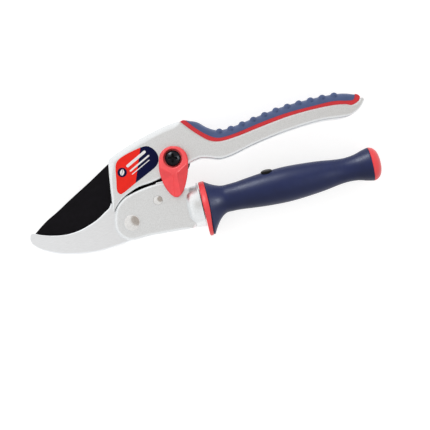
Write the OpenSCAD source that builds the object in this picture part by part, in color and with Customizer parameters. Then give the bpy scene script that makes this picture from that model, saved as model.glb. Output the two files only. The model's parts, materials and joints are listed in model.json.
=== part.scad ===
// Pruning shears with a fixed hook, a swinging blade and a lower grip that turns.
// Millimetres. The shears lie on their back: the blade points to -X, the handles
// to +X, and the face with the lock lever looks up, to +Z.
// Outlines are drawn about the main pivot, and place() moves them to the origin,
// which is the middle of the underside.

/* [Main pivot] */
// Radius of the pivot bolt's shank
bolt_r = 3.5; // [3:0.1:4]
// Radius of the pivot bolt's head
bolt_head_r = 4.7; // [4.4:0.1:5.2]
// How far the handles open, in degrees
open_angle = 35; // [20:1:35]

/* [Plates] */
// Thickness of the swinging blade
blade_t = 3.05; // [2.6:0.05:3.05]
// Thickness of the fixed hook
hook_t = 4.15; // [3.5:0.05:4.15]
// Height of the upper handle's face above the plane where blade and hook meet
face_z = 8; // [7.5:0.1:8.2]
// Thickness of the front cheeks
cheek_t = 3.6; // [3:0.1:3.6]

/* [Turning grip] */
// Radius of the fixed steel spindle
spindle_r = 4; // [3.5:0.1:4.2]
// Radius of the collar beside the barrel
collar_r = 13.5; // [13:0.1:14]
// How far the grip is turned towards the face, in degrees
grip_turn = 15; // [0:1:20]
// How far the grip turns each way from its middle, in degrees
grip_swing = 45; // [30:1:50]

/* [Lock lever] */
// Radius of the lever screw's shoulder
lever_screw_r = 2.5; // [2:0.1:2.8]
// Radius of the round boss on the lever
lever_boss_r = 6.7; // [6.4:0.1:7]

/* [Upper grip] */
// Half of the upper handle's width
handle_half_w = 8.3; // [8:0.1:9]
// Number of round ribs on the soft pad
rib_count = 11; // [5:1:11]

/* [Hidden] */

$fn = 72;
fit = 0.05;       // running clearance on a radius
gap = 0.2;        // clearance between faces that slide past each other
eps = 0.1;        // how far a cutting body runs past the face it cuts

// The main pivot seen from the middle of the underside
pivot_at = [-45.6, -17.06, 13.5];

// Heights of the layers about the plane where blade and hook meet
blade_z0 = -fit - blade_t;
hook_z1 = fit + hook_t;
cheek_z0 = face_z - cheek_t;
back_cheek_z1 = -6.5;
frame_back_z = -9;
casting_back_z = -8;
pocket_r = 27;    // free space round the pivot inside the lower frame
casting_pocket_r = 24;

// The stop rivet
stop_at = [18, 9.5];
stop_r = 1.9;
stop_head_r = 2.8;
stop_head_t = 0.8;  // sunk into the cheeks, so that the lock lever passes over it
stop_reach = norm(stop_at);
stop_angle = atan2(stop_at.y, stop_at.x);

// The peg that the spring pushes on
peg_at = [4, 13.5];
peg_r = 1.5;

// The spring
wire_r = 0.55;
coil_r = 6.8;
coil_pitch = 1.15;

// The lock lever
lever_at = [32.5, 31.7];
lever_z0 = face_z + 0.5;
lever_t = 2.6;
boss_z1 = 13;

// The turning grip's axis and stations along it
grip_y = 1.2;
barrel_y = 0.6;     // the barrel's own middle, a little lower than the grip's axis
barrel_end = 43;
collar_x0 = 43.5;
collar_x1 = 46.6;
sleeve_x1 = 147.5;
grip_end = 153.4;
spindle_x0 = 31;
spindle_x1 = 142;
bush_l = 8;
core_r = 6.2;
core_bore = 5.05;
plug_x = 85.1;
plug_r = 3.5;
plug_top = 11.3;
tip_r = 1.2;

// The holes for the screws that hold the blade
blade_screw_at = [[5, 29], [19, 34]];
blade_screw_r = 1.9;
blade_screw_head_r = 3.4;
screw_sink = 2.1;

// A smooth curve through the points p, with n steps between neighbours. It
// leaves out the last point, so that curves can be joined end to end.
function curve(p, n = 5) = let (last = len(p) - 1) [
    for (i = [0 : last - 1], k = [0 : n - 1])
        let (
            t = k / n,
            a = i > 0 ? p[i - 1] : 2 * p[0] - p[1],
            b = p[i],
            c = p[i + 1],
            d = i + 2 > last ? 2 * p[last] - p[last - 1] : p[i + 2]
        )
        0.5 * (2 * b + (c - a) * t + (2 * a - 5 * b + 4 * c - d) * t * t
            + (3 * b - a - 3 * c + d) * t * t * t)
];

// Points on a circle of radius r about the pivot
function arc(r, from, to, n = 12) = [
    for (i = [0 : n]) let (a = from + (to - from) * i / n) r * [cos(a), sin(a)]
];

function rev(p) = [for (i = [len(p) - 1 : -1 : 0]) p[i]];
function mix(a, b, t) = a + (b - a) * t;

// Where the curve p is at x, between its points, for a p that runs along +X
function height_at(p, x, i = 0) =
    i >= len(p) - 2 || p[i + 1].x >= x
        ? mix(p[i].y, p[i + 1].y, (x - p[i].x) / (p[i + 1].x - p[i].x))
        : height_at(p, x, i + 1);

// ---- outlines, anticlockwise ----

// The blade's cutting edge, from the tip to the heel
edge_line = curve([
    [-59.4, 6.9], [-55.8, 3.9], [-50, 1], [-43, -1.5], [-35, -3], [-26, -3.8], [-19, -4], [-14, -5]
]);

blade_heel = curve([[-14, -5], [-9.5, -7.8], [-4, -9.2], [3, -9.4], [12, -9], [22, -9.2], [25.3, -5]], 4);

blade_tang = curve([
    [19, 20.3], [30, 20.4], [36, 21.6], [39.8, 24], [41.6, 27], [41.3, 31], [38.5, 36], [33, 39.5],
    [20, 40.5], [5, 40], [-6, 38.3]
], 4);

blade_spine = curve([[-6, 38.3], [-20, 30], [-33, 22.8], [-43, 17], [-51, 12.8], [-59.4, 6.9]]);

blade_outline = concat(edge_line, blade_heel, arc(25.8, -10, 47), blade_tang, blade_spine);

hook_lower = curve([
    [-62.2, 5], [-61.6, 1.8], [-59, -1.3], [-55, -4.3], [-48, -7.7], [-40, -9.9], [-31, -11.5],
    [-22, -12], [-11, -11.2], [0, -9.9]
]);

hook_root = curve([
    [0, -9.9], [12, -9.7], [21.5, -9.8], [24.7, -7], [26, 0], [25.4, 6], [22, 12], [17, 15.8],
    [11.5, 19.6], [4, 19.4], [-4, 17.6], [-8.8, 16.4], [-10.2, 14.5]
], 4);

hook_upper = curve([
    [-10.2, 14.5], [-11.8, 12], [-15, 10], [-20, 7], [-25, 5], [-32, 3], [-40, 2.4], [-48, 3.5],
    [-55, 5.5], [-60.5, 7.6], [-62.2, 5]
]);

hook_outline = concat(hook_lower, hook_root, hook_upper);

frame_bottom = curve([[-0.9, -10.4], [8, -10], [16, -10.4], [26, -11], [32, -11.4], [38, -11.2]], 4);

frame_top = curve([
    [38, 12.6], [35.5, 12.9], [31, 15.7], [27, 18.4], [22.5, 19.4], [14, 19], [6, 17.7], [0, 16],
    [-4, 13.7], [-7.5, 10.3], [-10, 4]
], 4);

frame_outline = concat(arc(10.4, 165, 262), frame_bottom, frame_top);

casting_arc = curve([[-9, 9], [-6.5, 12], [-3, 15], [2, 17.6], [9, 20], [16, 20.7], [22.7, 22]], 4);

casting_belly = curve([
    [22.7, 22], [32, 24.3], [41.5, 27], [48.5, 28.2], [54, 26.9], [60, 25], [68, 25.6], [80, 28.4],
    [95, 31], [110, 32.7], [125, 33.3], [139, 32.1], [147, 34.4], [151.5, 39], [150.9, 41.4]
]);

// The line between the casting and the liner, from the front to the end
liner_line = curve([
    [41.7, 52.2], [48, 44.7], [55, 38], [60, 35.7], [65.5, 35.2], [75, 36.1], [90, 38.4], [105, 40.3],
    [120, 41], [133, 40.6], [140, 39.5], [144, 38.2], [148, 39.5], [149.7, 41.6]
]);

casting_top = curve([
    [41.7, 52.2], [38.5, 52.5], [30, 51.3], [18, 48.4], [7, 45], [-1, 42], [-4.4, 40.3], [-5.7, 38.5]
], 4);

casting_front = curve([[-5.7, 38.5], [-7.4, 28], [-8.8, 17.5], [-9.3, 13], [-9, 9]], 4);

casting_outline = concat(
    casting_arc, casting_belly, rev(liner_line), casting_top, casting_front
);

// The line between the liner and the pad, from the front to the end
pad_line = curve([
    [45.6, 52], [50, 46.5], [55, 41.7], [60, 38.4], [65.5, 37.5], [75, 38.4], [90, 41], [105, 42.8],
    [120, 43.2], [133, 43.2], [141, 41.7], [145, 41.3], [146.8, 43.9]
]);

liner_outline = concat(
    liner_line,
    [[149.7, 41.6], [149, 43.2], [147.2, 44.1]],
    rev(pad_line),
    [[43.5, 52.7]]
);

// The pad's top between the ribs, from the front to the end
pad_top = curve([
    [45.8, 52.2], [51.5, 50], [56.5, 45.6], [62, 42.5], [68, 42], [80, 43.6], [92, 45.6], [105, 47.2],
    [120, 47.7], [131, 47.5], [139, 46.8], [144, 45.5], [146.9, 44.1]
]);

lever_outline = curve([
    [32.5, 39], [29, 38.2], [26, 36], [24.1, 32], [23, 27], [23, 22], [23.8, 17], [25.8, 12],
    [28, 9.3], [30, 8.6], [32, 9.3], [34, 11.2], [36.3, 14.8], [38.6, 19.8], [40.3, 25],
    [41.2, 30], [40.4, 34], [37.3, 37.5], [32.5, 39]
], 4);

label_outline = curve([
    [-3.3, 27], [-4.3, 21.5], [-3.7, 19], [-1.5, 18.4], [7.5, 22.7], [15, 26.2], [20.9, 29.1],
    [23.6, 32], [24.2, 35.6], [22.6, 39.6], [19.3, 42.4], [14.9, 42.5], [8, 41.1], [3.5, 39.8],
    [0.6, 38.4], [-1.4, 36.2], [-2.4, 33], [-3.3, 27]
]);

// ---- shared shapes ----

module place() translate(pivot_at) children();

// A plate between two heights
module plate(outline, z0, z1) translate([0, 0, z0]) linear_extrude(z1 - z0) polygon(outline);

// A round bar or bore along Z
module rod(at, r, z0, z1) translate([at.x, at.y, z0]) cylinder(r = r, h = z1 - z0);

// A round bar along the grip's axis
module bar(r, x0, x1) translate([x0, grip_y, 0]) rotate([0, 90, 0]) cylinder(r = r, h = x1 - x0);

// A solid turned about a line along X from [x, radius] points
module turned(profile, y = grip_y)
    translate([0, y, 0]) rotate([0, 90, 0])
        rotate_extrude() polygon([for (p = profile) [p.y, p.x]]);

// A round bar pointing out of the grip at its turn
module radial(x, r, from, to)
    translate([x, grip_y, 0]) rotate([grip_turn, 0, 0]) rotate([-90, 0, 0])
        translate([0, 0, from]) cylinder(r = r, h = to - from);

// A solid through rings of points, each ring anticlockwise seen from the next
module skin(rings) {
    n = len(rings[0]);
    m = len(rings);
    polyhedron(
        points = [for (ring = rings, p = ring) p],
        faces = concat(
            [[for (i = [0 : n - 1]) i]],
            [for (j = [0 : m - 2], i = [0 : n - 1]) let (k = (i + 1) % n)
                [j * n + i, (j + 1) * n + i, (j + 1) * n + k, j * n + k]],
            [[for (i = [n - 1 : -1 : 0]) (m - 1) * n + i]]
        )
    );
}

// ---- lower handle ----

barrel_profile = concat(
    [[33.9, 0]],
    curve([[33.9, 6.5], [34.3, 8.8], [35.2, 10.8], [36.6, 12], [38.6, 12.5], [41.6, 12.6]], 4),
    [[42.5, 12.6], [42.5, 0]]
);
barrel_lip = [[42, 0], [42, 13.4], [barrel_end, 13.4], [barrel_end, 0]];
// The cone that trims the plate's corners down to the barrel
neck_profile = [[-20, 0], [-20, 40], [20, 40], [30, 18.5], [36, 13.2], [39.5, 11.4], [39.5, 0]];

module lower_frame() place() color("#cfcecd") difference() {
    union() {
        intersection() {
            plate(frame_outline, frame_back_z, face_z);
            turned(neck_profile, barrel_y);
        }
        turned(barrel_profile, barrel_y);
        turned(barrel_lip);
    }
    rod([0, 0], pocket_r, back_cheek_z1, cheek_z0);
    rod([0, 0], bolt_r + fit, frame_back_z - eps, face_z + eps);
    rod(stop_at, stop_r + fit, frame_back_z - eps, face_z + eps);
    rod(stop_at, stop_head_r + fit, face_z - stop_head_t, face_z + eps);
    bar(spindle_r + fit, spindle_x0 - 1, barrel_end + eps);
    rod([38.5, grip_y], 1.5 + fit, -14, 4.5);
}

module hook() place() color("#dbdbdb") difference() {
    plate(hook_outline, fit, hook_z1);
    rod([0, 0], bolt_r + fit, -1, hook_z1 + 1);
    rod(stop_at, stop_r + fit, -1, hook_z1 + 1);
}

bolt_head_t = 1.3;
washer_t = 0.6;
nut_t = 3.2;
nut_z0 = frame_back_z - washer_t - nut_t;

module pivot_bolt() place() color("#b9b9bb") {
    rod([0, 0], bolt_r, nut_z0 - 0.4, face_z);
    rod([0, 0], bolt_head_r, face_z, face_z + 0.7);
    translate([0, 0, face_z + 0.7])
        cylinder(r1 = bolt_head_r, r2 = bolt_head_r - 0.7, h = bolt_head_t - 0.7);
}

module pivot_washer() place() color("#a9aaad") difference() {
    rod([0, 0], 7, frame_back_z - washer_t, frame_back_z);
    rod([0, 0], bolt_r + fit, -14, 0);
}

module pivot_nut() place() color("#8d8f93") difference() {
    intersection() {
        rod([0, 0], 6.4, nut_z0, nut_z0 + nut_t);
        translate([0, 0, nut_z0]) cylinder(r = 6.6, h = nut_t, $fn = 6);
    }
    rod([0, 0], bolt_r + fit, -14, 0);
}

module spring_bush() place() color("#b08d4c") difference() {
    rod([0, 0], 5.6, back_cheek_z1 + fit, blade_z0 - fit);
    rod([0, 0], bolt_r + fit, -8, 0);
}

// The spring: one leg on the stop rivet, a turn and a half of coil, one leg on the peg
coil_from = -34.7;
coil_to = coil_from - 561.5;
coil_steps = 52;
spring_z0 = back_cheek_z1 + gap + wire_r;
spring_z1 = spring_z0 + coil_pitch * (coil_from - coil_to) / 360;
leg_a_end = [16.7, 12];
leg_b_end = [6.6, 12.6];
leg_steps = 3;

function flat(p, z) = [p.x, p.y, z];
spring_path = concat(
    [for (i = [0 : leg_steps - 1])
        flat(mix(leg_a_end, coil_r * [cos(coil_from), sin(coil_from)], i / leg_steps), spring_z0)],
    [for (i = [0 : coil_steps]) let (a = mix(coil_from, coil_to, i / coil_steps))
        flat(coil_r * [cos(a), sin(a)], mix(spring_z0, spring_z1, i / coil_steps))],
    [for (i = [1 : leg_steps])
        flat(mix(coil_r * [cos(coil_to), sin(coil_to)], leg_b_end, i / leg_steps), spring_z1)]
);

// A ring of wire round the path at point i, in the plane across the path
function wire_ring(path, i, r, n = 10) = let (
    a = path[max(i - 1, 0)],
    b = path[min(i + 1, len(path) - 1)],
    along = atan2(b.y - a.y, b.x - a.x),
    side = [-sin(along), cos(along), 0]
) [for (k = [0 : n - 1]) let (t = -360 * k / n) path[i] + r * (cos(t) * side + [0, 0, sin(t)])];

module torsion_spring() place() color("#77797d")
    skin([for (i = [0 : len(spring_path) - 1]) wire_ring(spring_path, i, wire_r)]);

module stop_rivet() place() color("#c4c4c6") {
    rod(stop_at, stop_r, frame_back_z, face_z);
    rod(stop_at, stop_head_r, face_z - stop_head_t, face_z);
    rod(stop_at, stop_head_r, frame_back_z - stop_head_t, frame_back_z);
}

groove_r = 2.4;
groove_half_w = 1.55;
clip_x0 = spindle_x1 - 2.2;
clip_t = 0.9;
// Half of the groove's angle: the swing, and room for the screw's tip at both ends
groove_half = grip_swing + 33;

module spindle() place() color("#9d9fa3") difference() {
    bar(spindle_r, spindle_x0, spindle_x1);
    // The stop screw's groove, which ends at both ends of the grip's swing
    translate([plug_x, grip_y, 0]) rotate([90, 0, 90]) rotate([0, 0, -groove_half])
        rotate_extrude(angle = 2 * groove_half)
            translate([groove_r, -groove_half_w]) square([3, 2 * groove_half_w]);
    // The clip's groove
    difference() {
        bar(spindle_r + 1, clip_x0 - 0.1, clip_x0 + clip_t + 0.1);
        bar(3, clip_x0 - 1, clip_x0 + clip_t + 1);
    }
    rod([38.5, grip_y], 1.5 + fit, -14, 4.5);
}

module spindle_pin() place() color("#6f7175") rod([38.5, grip_y], 1.5, -12.3, 4.2);

module spindle_clip() place() color("#5f6165") difference() {
    bar(4.8, clip_x0, clip_x0 + clip_t);
    bar(3 + fit, clip_x0 - 1, clip_x0 + clip_t + 1);
    translate([clip_x0 - 1, grip_y - 1, 2]) cube([clip_t + 2, 2, 4]);
}

module thrust_washer() place() color("#2c2c30") difference() {
    bar(9, barrel_end + 0.02, collar_x0 - gap);
    bar(spindle_r + fit, barrel_end - 1, collar_x0 + 1);
}

// ---- upper handle ----

module upper_frame() place() color("#cfcecd") difference() {
    plate(casting_outline, casting_back_z, face_z);
    // The slot for the blade
    translate([0, 0, blade_z0 - fit]) linear_extrude(blade_t + 2 * fit)
        offset(delta = 0.1) polygon(blade_outline);
    // Room for the hook under the front cheek, and for the spring behind the blade
    rod([0, 0], casting_pocket_r, blade_z0 - fit, cheek_z0);
    rod([0, 0], 17.5, casting_back_z - eps, blade_z0);
    for (p = blade_screw_at) {
        rod(p, blade_screw_r + fit, casting_back_z - eps, 5.1);
        rod(p, blade_screw_head_r + fit, casting_back_z - eps, casting_back_z + screw_sink);
    }
    rod(lever_at, lever_screw_r + fit, -6.1, face_z + eps);
}

// The edge is ground on the side that faces away from the hook
grind_w = 5;
grind_steps = len(edge_line);

function unit(v) = v / norm(v);
// The edge line moved into the blade by the width of the grind, fading at both ends
grind_line = [for (i = [0 : grind_steps - 1]) let (
    along = unit(edge_line[min(i + 1, grind_steps - 1)] - edge_line[max(i - 1, 0)]),
    fade = min(1, i / 6, (grind_steps - 1 - i) / 5)
) edge_line[i] + grind_w * fade * [-along.y, along.x]];

module blade() place() color("#1b1a1e") difference() {
    plate(blade_outline, blade_z0, -fit);
    // The ground wedge, which leaves a thin land at the hook's side
    skin([for (i = [1 : grind_steps - 2]) let (e = edge_line[i], g = grind_line[i], out = e + 0.1 * (e - g)) [
        flat(out, -fit - 0.1),
        flat(out, blade_z0 - 1),
        flat(g, blade_z0 - 1),
        flat(g, blade_z0 - 0.01)
    ]]);
    rod([0, 0], bolt_r + fit, -5, 1);
    // The slot that the stop rivet runs in
    rotate([0, 0, stop_angle - open_angle]) rotate_extrude(angle = open_angle)
        translate([stop_reach - stop_r - 0.3, -4]) square([2 * stop_r + 0.6, 5]);
    for (a = [stop_angle, stop_angle - open_angle])
        rod(stop_reach * [cos(a), sin(a)], stop_r + 0.3, -4, 1);
    for (p = blade_screw_at) rod(p, blade_screw_r + fit, -5, 1);
    rod(lever_at, lever_screw_r + 0.4, -5, 1);
    rod(peg_at, 1 + fit, -5, 1);
}

module blade_screws() place() color("#2d2d31") for (p = blade_screw_at) difference() {
    union() {
        rod(p, blade_screw_r, casting_back_z + screw_sink - 0.1, 5);
        rod(p, blade_screw_head_r, casting_back_z + 0.1, casting_back_z + screw_sink);
    }
    translate([p.x, p.y, casting_back_z]) cylinder(r = 1.7, h = 1.4, $fn = 6);
}

module spring_peg() place() color("#8d8f93") {
    rod(peg_at, 1, blade_z0, -0.4);
    rod(peg_at, peg_r, back_cheek_z1 + 0.3, blade_z0);
}

module grip_liner() place() color("#cc3a40")
    plate(liner_outline, -handle_half_w, handle_half_w);

// The pad's section at one point of its outline: flat on the liner, round on top
pad_span = 12;
function pad_ring(i) = [
    for (k = [0 : pad_span]) let (
        across = cos(180 * k / pad_span),
        rise = pow(1 - pow(abs(across), 2.6), 1 / 2.6),
        p = mix(pad_line[i], pad_top[i], rise)
    ) [p.x, p.y, -handle_half_w * across]
];

rib_r = 2.2;
rib_half_w = 4.2;
rib_from = 63.1;
rib_pitch = 7.17;
// The ribs' tops follow the pad, and stand a little proud of it
rib_rise = 0.7;

module rib() rotate_extrude() difference() {
    union() {
        translate([0, -rib_half_w]) square([rib_r, 2 * rib_half_w]);
        for (z = [-rib_half_w, rib_half_w]) translate([0, z]) circle(r = rib_r);
    }
    translate([-2 * rib_r, -20]) square([2 * rib_r, 40]);
}

module grip_pad() place() color("#383d5c") union() {
    skin([for (i = [0 : len(pad_line) - 1]) pad_ring(i)]);
    for (i = [0 : rib_count - 1]) let (x = rib_from + rib_pitch * i)
        translate([x, height_at(pad_top, x) + rib_rise - rib_r, 0]) rib();
}

label_t = 0.25;
label_split = [[7.5, 15], [7.5, 22.7], [14.9, 42], [14.9, 50]];

module label_red() place() color("#f03d39") intersection() {
    plate(label_outline, face_z, face_z + label_t);
    plate(concat(label_split, [[-20, 50], [-20, 15]]), face_z - 1, face_z + 1);
}

module label_navy() place() color("#0d1541") difference() {
    plate(label_outline, face_z, face_z + label_t);
    plate(concat(label_split, [[-20, 50], [-20, 15]]), face_z - 1, face_z + 1);
}

// A plain pattern of a round spot and three bars, each [start, length, width]
print_t = 0.1;
print_turn = 26.6;
spot_at = [1.1, 30.6];
spot_r = 2.7;
print_bars = [[[5.2, 33.6], 13, 1.7], [[6.2, 30.4], 14, 1], [[6.8, 28.2], 13, 0.5]];

module label_print() place() color("#f2f2f0") {
    rod(spot_at, spot_r, face_z + label_t, face_z + label_t + print_t);
    for (b = print_bars) translate([b[0].x, b[0].y, face_z + label_t]) rotate([0, 0, print_turn])
        linear_extrude(print_t) union() {
            translate([0, -b[2] / 2]) square([b[1], b[2]]);
            for (x = [0, b[1]]) translate([x, 0]) circle(r = b[2] / 2);
        }
}

// ---- lock lever ----

screw_head_r = 4.75;
screw_head_z0 = 10.9;

module lever_screw() place() color("#1d1d20") difference() {
    union() {
        rod(lever_at, lever_screw_r, -6, screw_head_z0);
        rod(lever_at, screw_head_r, screw_head_z0, screw_head_z0 + 1.4);
        translate([lever_at.x, lever_at.y, screw_head_z0 + 1.4])
            cylinder(r1 = screw_head_r, r2 = screw_head_r - 1.3, h = 1);
    }
    for (turn = [0, 90]) translate([lever_at.x, lever_at.y, screw_head_z0 + 1.7])
        rotate([0, 0, turn - 13]) cube([5.6, 1.1, 2.4], center = true);
}

module lever_washer() place() color("#b9b9bb") difference() {
    rod(lever_at, 5.4, face_z + 0.02, lever_z0 - 0.08);
    rod(lever_at, lever_screw_r + fit, 0, 20);
}

// A raised rib down the middle of the lever
module lever_ridge() translate([30.9, 17, lever_z0 + lever_t]) rotate([0, 0, -6.2]) {
    rotate([90, 0, 0]) linear_extrude(15, center = true)
        polygon([[-3, -1], [3, -1], [3, 0], [1.3, 1.3], [-1.3, 1.3], [-3, 0]]);
}

module lock_lever() place() color("#f14e51") difference() {
    union() {
        plate(lever_outline, lever_z0, lever_z0 + lever_t);
        rod(lever_at, lever_boss_r, lever_z0, boss_z1);
        intersection() {
            lever_ridge();
            plate(lever_outline, lever_z0, boss_z1);
        }
    }
    rod(lever_at, 5.6, screw_head_z0 - 0.1, boss_z1 + eps);
    rod(lever_at, 3.6 + fit, lever_z0 - eps, boss_z1);
}

module lever_bush() place() color("#b9b9bb") difference() {
    rod(lever_at, 3.6, lever_z0, screw_head_z0 - 0.1);
    rod(lever_at, lever_screw_r + fit, 0, 20);
}

// ---- turning grip ----

module front_bush() place() color("#e8e4d8") difference() {
    bar(core_bore - fit, collar_x1, collar_x1 + bush_l);
    bar(spindle_r + fit, 0, spindle_x1);
}

module rear_bush() place() color("#e8e4d8") difference() {
    bar(core_bore - fit, clip_x0 - 0.4 - bush_l, clip_x0 - 0.4);
    bar(spindle_r + fit, 0, spindle_x1);
}

module grip_core() place() color("#c9363c") difference() {
    bar(core_r, collar_x1, sleeve_x1 - 1);
    bar(core_bore, 0, grip_end);
    radial(plug_x, 1.5 + fit, 0, 9);
}

// The flange's outline: a circle, drawn out into a finger guard on the far side
guard_shift = 9.6;
guard_r = 10.5;
module flange(h) linear_extrude(h) hull() {
    circle(r = collar_r);
    translate([guard_shift, 0]) circle(r = guard_r);
}

// Turns a shape drawn along Z into one along the grip, its +X on the guard's side
module along_grip(x) translate([x, grip_y, 0]) rotate([grip_turn, 0, 0])
    multmatrix([[0, 0, 1, 0], [-1, 0, 0, 0], [0, -1, 0, 0], [0, 0, 0, 1]]) children();

module grip_collar() place() color("#f35255") difference() {
    along_grip(collar_x0) flange(collar_x1 - collar_x0);
    bar(spindle_r + 1, 0, 60);
}

// The sleeve's radius along the grip, and its flare towards the collar
sleeve_line = [
    [58, 8.2], [65, 8.45], [72, 9.2], [80, 10], [88, 10.5], [95, 10.7], [102, 10.45], [110, 9.85],
    [118, 9.05], [125, 8], [130, 7.45], [134, 7.4], [139, 8], [143.5, 9.3], [147.5, 10.2]
];
flare_x0 = collar_x1 + 0.1;
flare_x1 = 58;
flare_steps = 9;
flare_fn = 48;

// The flare's section at t, from the flange's outline to the sleeve's round
function flare_ring(t) = let (
    x = mix(flare_x0, flare_x1, t),
    f = pow(1 - t, 1.9),
    base = sleeve_line[0].y - 0.12
) [for (k = [0 : flare_fn - 1]) let (
    a = 360 * k / flare_fn,
    // distance to the flange's outline in this direction, from its two circles
    reach = max(collar_r, guard_shift * cos(a) + sqrt(max(0, pow(guard_r, 2) - pow(guard_shift * sin(a), 2)))),
    r = mix(base, reach - 0.5, f)
) [x, grip_y - r * cos(a + grip_turn), r * -sin(a + grip_turn)]];

module grip_sleeve() place() color("#383d5c") difference() {
    union() {
        turned(concat([[flare_x1, 0]], curve(sleeve_line, 3), [sleeve_line[len(sleeve_line) - 1]], [[sleeve_x1, 0]]));
        skin([for (i = [0 : flare_steps]) flare_ring(i / flare_steps)]);
    }
    bar(core_r + fit, 0, grip_end + 1);
    radial(plug_x, plug_r + fit, 0, 20);
}

module grip_end_cap() place() color("#f3575b") {
    turned([
        [sleeve_x1 + 0.05, 0], [sleeve_x1 + 0.05, 10.1], [149, 9.9], [150.6, 9.1], [151.9, 7.8],
        [152.8, 5.8], [153.3, 3], [grip_end, 0]
    ]);
    bar(core_bore - fit, spindle_x1 + 0.6, sleeve_x1 + 0.1);
}

module grip_stop_screw() place() color("#8d8f93") {
    radial(plug_x, tip_r, 2.8, core_r + 0.1);
    radial(plug_x, 2.9, core_r + 0.1, core_r + 1.6);
}

module screw_plug() place() color("#141416") {
    radial(plug_x, plug_r, core_r + 1.7, plug_top - 0.4);
    translate([plug_x, grip_y, 0]) rotate([grip_turn, 0, 0]) rotate([-90, 0, 0])
        translate([0, 0, plug_top - 0.4]) cylinder(r1 = plug_r, r2 = plug_r - 0.5, h = 0.4);
}

lower_frame();
hook();
pivot_bolt();
pivot_washer();
pivot_nut();
spring_bush();
torsion_spring();
stop_rivet();
spindle();
spindle_pin();
spindle_clip();
thrust_washer();
upper_frame();
blade();
blade_screws();
spring_peg();
grip_liner();
grip_pad();
label_red();
label_navy();
label_print();
lever_screw();
lever_washer();
lock_lever();
lever_bush();
grip_core();
grip_sleeve();
grip_collar();
grip_end_cap();
grip_stop_screw();
screw_plug();
front_bush();
rear_bush();
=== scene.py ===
"""Pruning shears, closed and locked: the looks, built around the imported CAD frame.

Lengths are in millimetres about the main pivot, in the CAD's own axes, and turn into metres
only in at(), in the mesh helpers and in bump(). The lights, the floor and the two distances
WELD and LEVEL are in metres, and a noise's scale is per metre.
"""

import json
import math

import bmesh
import bpy
from mathutils import Matrix, Vector


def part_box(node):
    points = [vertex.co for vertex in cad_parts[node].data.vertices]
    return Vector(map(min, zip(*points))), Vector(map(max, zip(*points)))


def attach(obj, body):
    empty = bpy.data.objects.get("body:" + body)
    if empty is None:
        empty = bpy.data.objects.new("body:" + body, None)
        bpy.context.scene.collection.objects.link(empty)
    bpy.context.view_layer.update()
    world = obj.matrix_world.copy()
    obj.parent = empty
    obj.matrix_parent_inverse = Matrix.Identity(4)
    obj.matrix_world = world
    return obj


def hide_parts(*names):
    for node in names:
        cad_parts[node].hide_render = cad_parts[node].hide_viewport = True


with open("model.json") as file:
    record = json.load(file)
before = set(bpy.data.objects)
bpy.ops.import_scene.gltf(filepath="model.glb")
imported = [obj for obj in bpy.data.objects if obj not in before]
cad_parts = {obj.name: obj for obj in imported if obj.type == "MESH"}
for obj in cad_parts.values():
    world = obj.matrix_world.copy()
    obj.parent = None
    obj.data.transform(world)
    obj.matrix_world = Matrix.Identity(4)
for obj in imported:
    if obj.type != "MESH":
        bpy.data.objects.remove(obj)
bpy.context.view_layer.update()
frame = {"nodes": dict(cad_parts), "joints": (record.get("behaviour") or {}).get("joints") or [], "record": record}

MM = 0.001
JOINTS = {j["name"]: j for j in frame["joints"]}
PIVOT = Vector(JOINTS["main_pivot"]["pos_m"])
LEVER_AT = ((Vector(JOINTS["lock_turn"]["pos_m"]) - PIVOT) / MM).xy
GRIP_Y = (Vector(JOINTS["grip_turn"]["pos_m"]) - PIVOT).y / MM

UPPER, LOWER, LEVER, GRIP = "upper_handle", "lower_handle", "lever", "turning_grip"


def at(x, y, z=0.0):
    """A point in the frame, from millimetres about the pivot."""
    return PIVOT + Vector((x, y, z)) * MM


def mm_box(node):
    """A CAD node's corners in millimetres about the pivot."""
    low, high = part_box(node)
    return (Vector(low) - PIVOT) / MM, (Vector(high) - PIVOT) / MM


BACK_Z, FACE_Z = (corner.z for corner in mm_box("upper_frame"))
# The back of the lower casting's cheeks, which its round barrel stands below
LOWER_BACK_Z = -9.0

# The camera looks straight down on the tool, which lies turned in the picture
VIEW_AT = (49.1, -6.9)
VIEW_TURN = math.radians(13.4)
VIEW_WIDTH = 258.0
VIEW_PLANE_Z = 4.0
LENS, SENSOR = 100.0, 36.0
PICTURE_TURN = Matrix.Rotation(-VIEW_TURN, 3, "Z")

# ---- node helpers ----


def map_range(tree, value, start, low, high):
    """Values between the two of start, spread from low to high."""
    node = tree.nodes.new("ShaderNodeMapRange")
    sockets = ("From Min", "From Max", "To Min", "To Max")
    for socket, number in zip(sockets, (*start, low, high)):
        node.inputs[socket].default_value = number
    tree.links.new(value, node.inputs["Value"])
    return node.outputs["Result"]


def color_ramp(tree, value, stops):
    """A colour for each value, from (value, colour) stops."""
    node = tree.nodes.new("ShaderNodeValToRGB")
    ramp = node.color_ramp
    while len(ramp.elements) < len(stops):
        ramp.elements.new(0.5)
    for element, (place, color) in zip(ramp.elements, stops):
        element.position = place
        element.color = (*color, 1.0)
    tree.links.new(value, node.inputs["Fac"])
    return node.outputs["Color"]


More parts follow.
